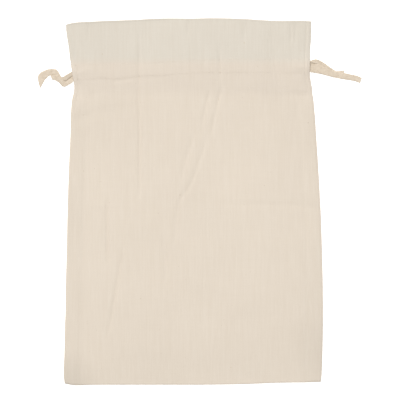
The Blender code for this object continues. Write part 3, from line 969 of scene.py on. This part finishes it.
# ---- materials ----
class Nodes:
    """Short names for making and linking a material's nodes."""

    def __init__(self, name):
        self.material = bpy.data.materials.new(name)
        self.material.use_nodes = True
        self.tree = self.material.node_tree

    def fill(self, node, values):
        """Links or sets a node's inputs, by their names or numbers."""
        for name, value in values.items():
            if hasattr(value, "is_output"):
                self.tree.links.new(value, node.inputs[name])
            else:
                node.inputs[name].default_value = value

    def finish(self, values):
        """Fills the shader and returns the material."""
        self.fill(self.tree.nodes["Principled BSDF"], values)
        return self.material

    def new(self, kind, values, **settings):
        node = self.tree.nodes.new(kind)
        for key, value in settings.items():
            setattr(node, key, value)
        self.fill(node, values)
        return node

    def place(self):
        return self.new("ShaderNodeTexCoord", {}).outputs["Object"]

    def attribute(self, name, output):
        return self.new("ShaderNodeAttribute", {}, attribute_name=name).outputs[output]

    def split(self, vector):
        node = self.new("ShaderNodeSeparateXYZ", {0: vector})
        return node.outputs["X"], node.outputs["Y"]

    def scaled(self, vector, scale):
        return self.new("ShaderNodeVectorMath", {0: vector, 1: scale}, operation="MULTIPLY").outputs[0]

    def math(self, operation, first, second=0.0):
        return self.new("ShaderNodeMath", {0: first, 1: second}, operation=operation).outputs[0]

    def wave(self, value, pitch):
        """Goes up and down once every `pitch`."""
        return self.math("SINE", self.math("MULTIPLY", value, 2 * math.pi / pitch))

    def noise(self, vector, scale, detail, roughness):
        node = self.new("ShaderNodeTexNoise", {"Vector": self.scaled(vector, scale), "Scale": 1.0})
        self.fill(node, {"Detail": detail, "Roughness": roughness})
        return node.outputs["Fac"]

    def ramp(self, value, low, high, bottom=0.0, top=1.0):
        values = {"Value": value, "From Min": low, "From Max": high, "To Min": bottom, "To Max": top}
        node = self.new("ShaderNodeMapRange", values, clamp=True, interpolation_type="SMOOTHSTEP")
        return node.outputs["Result"]

    def mix(self, factor, first, second, blend="MIX"):
        node = self.new("ShaderNodeMix", {}, data_type="RGBA", blend_type=blend)
        self.fill(node, {"Factor": factor, "A": first, "B": second})
        return node.outputs["Result"]

    def bump(self, height, distance, strength, **normal):
        """Its `Normal` is that of the bumps under these, where there are any."""
        values = {"Height": height, "Distance": distance, "Strength": strength, **normal}
        return self.new("ShaderNodeBump", values).outputs["Normal"]


def muslin(name, body, casing, header, slub, speck_colour):
    """Plain-woven natural cotton: fine threads, long slubs in the warp, shorter ones in the weft, specks.

    `body`, `casing` and `header` are its colours there.  `slub` and `speck_colour` darken them."""
    made = Nodes(name)
    place = made.place()
    x, y = made.split(place)

    # slubs in the warp, and over them its fine streaks, the weft's slubs and broad changes
    streaks = made.noise(place, (700.0, 30.0, 300.0), 3.0, 0.6)
    more = (((1900.0, 95.0, 500.0), 0.60), ((50.0, 1100.0, 300.0), 0.30), ((26.0, 18.0, 20.0), 0.30))
    for scale, part in more:
        added = made.math("MULTIPLY", made.noise(place, scale, 2.0, 0.5), part)
        streaks = made.math("ADD", streaks, added)

    # the hem is two layers deep and looks a little cooler; its darker colour is partly painted shade
    colour = made.mix(made.ramp(y, 0.083, 0.095), body, casing)
    colour = made.mix(made.ramp(y, 0.110, 0.119), colour, header)
    colour = made.mix(made.ramp(streaks, 0.72, 1.52, 1.0, 0.0), colour, slub, "MULTIPLY")
    # the panels' painted shade scales the colour down
    shaded = made.new("ShaderNodeVectorMath", {}, operation="SCALE")
    made.fill(shaded, {0: colour, "Scale": made.attribute("painted_shade", "Fac")})

    # dark specks in a few of the cells
    cells = made.new("ShaderNodeTexVoronoi", {"Scale": 1.0, "Randomness": 1.0}, feature="F1")
    made.fill(cells, {"Vector": made.scaled(place, (95.0, 95.0, 40.0))})
    rare = made.new("ShaderNodeSeparateColor", {0: cells.outputs["Color"]})
    speck = made.ramp(cells.outputs["Distance"], 0.02, 0.085, 1.0, 0.0)
    speck = made.math("MULTIPLY", speck, made.ramp(rare.outputs[0], 0.80, 0.98))

    # the threads themselves, over and under each other
    threads = made.math("MULTIPLY", made.wave(x, WARP_PITCH), made.wave(y, WEFT_PITCH))
    return made.finish({
        "Base Color": made.mix(speck, shaded.outputs[0], speck_colour, "MULTIPLY"),
        "Normal": made.bump(streaks, 0.00016, 0.5, Normal=made.bump(threads, 0.00005, 0.35)),
        "Roughness": 0.92,
        "Specular IOR Level": 0.15,
        "Sheen Weight": 0.08,
        "Sheen Roughness": 0.6})


def woven_tape(name, base, dark):
    """Herringbone cotton tape: slanting ribs that meet in the middle of its width."""
    made = Nodes(name)
    across, along = made.split(made.attribute("weave", "Vector"))
    slant = made.math("MULTIPLY", made.math("ABSOLUTE", across), 0.8)
    ribs = made.wave(made.math("ADD", along, slant), RIB_PITCH)
    patches = made.noise(made.place(), (420.0, 420.0, 420.0), 3.0, 0.6)
    shade = made.math("ADD", made.math("MULTIPLY", ribs, 0.18), patches)
    return made.finish({
        "Base Color": made.mix(made.ramp(shade, 0.25, 0.75), dark, base),
        "Normal": made.bump(ribs, 0.00006, 0.6),
        "Roughness": 0.85,
        "Specular IOR Level": 0.2,
        "Sheen Weight": 0.08})


def thread(name, base, dark):
    """Twisted sewing thread."""
    made = Nodes(name)
    twist = made.noise(made.place(), (5200.0, 2600.0, 2600.0), 1.0, 0.5)
    return made.finish({
        "Base Color": made.mix(made.ramp(twist, 0.3, 0.7), dark, base),
        "Normal": made.bump(twist, 0.00004, 0.5),
        "Roughness": 0.7})


def white_surface(name):
    """The pale surface: white, and lit enough to stay even under the pouch's edges."""
    return Nodes(name).finish({
        "Base Color": (0.93, 0.93, 0.93, 1.0),
        "Roughness": 0.95,
        "Specular IOR Level": 0.0,
        "Emission Color": (1.0, 1.0, 1.0, 1.0),
        "Emission Strength": 0.55})


# ---- stage, light and camera ----
def add_camera():
    data = bpy.data.cameras.new("camera")
    data.lens = data.sensor_width * CAMERA_HEIGHT / VIEW_WIDTH
    data.clip_start, data.clip_end = CAMERA_RANGE
    camera = bpy.data.objects.new("camera", data)
    bpy.context.scene.collection.objects.link(camera)
    camera.location = (*VIEW_CENTRE, CAMERA_HEIGHT)
    bpy.context.scene.camera = camera


def add_light():
    """White surroundings, and soft lights that point at the middle of the pouch."""
    world = bpy.data.worlds.new("studio")
    bpy.context.scene.world = world
    world.use_nodes = True
    background = world.node_tree.nodes["Background"]
    background.inputs["Color"].default_value = (1.0, 1.0, 1.0, 1.0)
    background.inputs["Strength"].default_value = WORLD_STRENGTH
    for name, place, size, power in LIGHTS:
        data = bpy.data.lights.new(name, "AREA")
        data.shape = "SQUARE"
        data.size = size
        data.energy = power
        light = bpy.data.objects.new(name, data)
        bpy.context.scene.collection.objects.link(light)
        light.location = place
        light.rotation_euler = (-Vector(place)).to_track_quat("-Z", "Y").to_euler()
    bpy.context.scene.view_settings.view_transform = "Standard"


def add_floor():
    mesh = bpy.data.meshes.new("floor")
    corners = [(FLOOR_HALF * x, FLOOR_HALF * y, 0.0) for x, y in ((-1, -1), (1, -1), (1, 1), (-1, 1))]
    mesh.from_pydata(corners, [], [(0, 1, 2, 3)])
    mesh.materials.append(white_surface("floor_white"))
    floor = bpy.data.objects.new("floor", mesh)
    bpy.context.scene.collection.objects.link(floor)


# ---- the pouch ----
def add_tapes():
    tape_cotton = woven_tape("tape_weave", (0.755, 0.655, 0.530, 1.0), (0.615, 0.512, 0.395, 1.0))
    ends = (
        ("tape_left_long", LEFT_LONG_TAPE, "drawstring_left", (-0.0975, 0.1049, 0.0018)),
        ("tape_left_short", LEFT_SHORT_TAPE, "drawstring_left", (-0.0975, 0.1013, 0.0012)),
        ("tape_right_long", RIGHT_LONG_TAPE, "drawstring_right", (0.0955, 0.1095, 0.0014)),
        ("tape_right_short", RIGHT_SHORT_TAPE, "drawstring_right", (0.0955, 0.1138, 0.0016)),
    )
    for name, rows, node, leaves_at in ends:
        piece, path, length = tape(name, rows, tape_cotton)
        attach(piece, "root")
        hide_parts(node)


def add_panels():
    cloth = muslin(
        "muslin",
        body=(0.727, 0.645, 0.546, 1.0),
        casing=(0.706, 0.626, 0.533, 1.0),
        header=(0.686, 0.632, 0.548, 1.0),
        slub=(0.955, 0.945, 0.930, 1.0),
        speck_colour=(0.93, 0.89, 0.83, 1.0))
    panels = (
        ("pouch_front", front_height, 1, FINE, "pouch_back"),
        ("pouch_back", back_height, -1, COARSE, "floor"),
    )
    for name, height, side, spacing, below in panels:
        grid, painted_shades = panel_grid(height, side, spacing)
        panel = thicken(name, grid, CLOTH, painted_shades, cloth)
        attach(panel, "root")
        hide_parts("pouch")


def add_stitching():
    cotton_thread = thread("thread", (0.76, 0.68, 0.58, 1.0), (0.65, 0.57, 0.475, 1.0))
    fibre = thread("fibre", (0.62, 0.53, 0.42, 1.0), (0.52, 0.43, 0.33, 1.0))
    above = CLOTH / 2 - 0.01
    pieces = (
        stitching("stitches_front", front_height, above, cotton_thread),
        stitching("stitches_back", back_height, -above, cotton_thread),
        neps("neps", fibre),
    )
    for piece in pieces:
        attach(piece, "root")


add_camera()
add_light()
add_floor()
add_tapes()
add_panels()
add_stitching()
